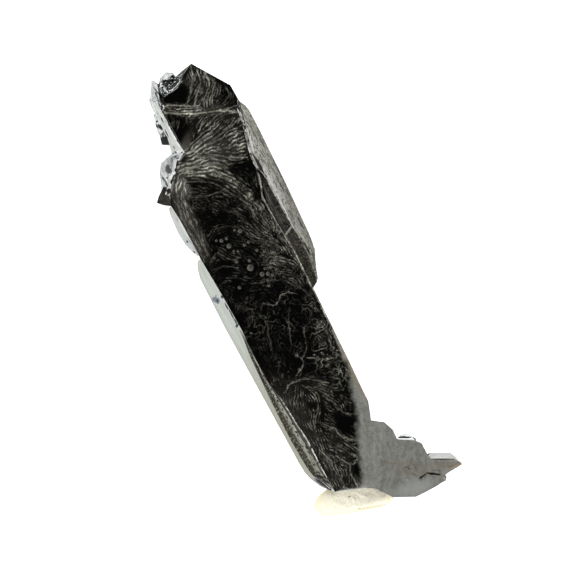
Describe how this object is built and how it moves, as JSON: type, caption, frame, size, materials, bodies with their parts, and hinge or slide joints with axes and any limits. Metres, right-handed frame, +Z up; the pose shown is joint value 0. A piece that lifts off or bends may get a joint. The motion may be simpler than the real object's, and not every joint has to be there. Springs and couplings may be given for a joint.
{
  "type": "hematite crystal specimen",
  "caption": "Long tabular hematite crystal with a black mirror face, bright bevelled sides and a fan of thin plates, lying on its back with a dab of mounting putty.",
  "frame": {"origin": "on the surface that the specimen lies on, below the middle of its length and width", "axes": "+Z up, out of the black basal face; +Y along the blade towards its upper end; +X towards the side that the fan of plates leans to"},
  "size_m": [0.0158, 0.0492, 0.0046],
  "materials": {
    "hematite": "metallic black mirror basal face with fine growth lines, silvery bevels and a grey satin fan",
    "mounting_putty": "matt cream putty, soft and slightly pitted"
  },
  "bodies": {
    "root": {"hematite": "hematite", "mounting_putty": "mounting_putty"}
  },
  "joints": []
}
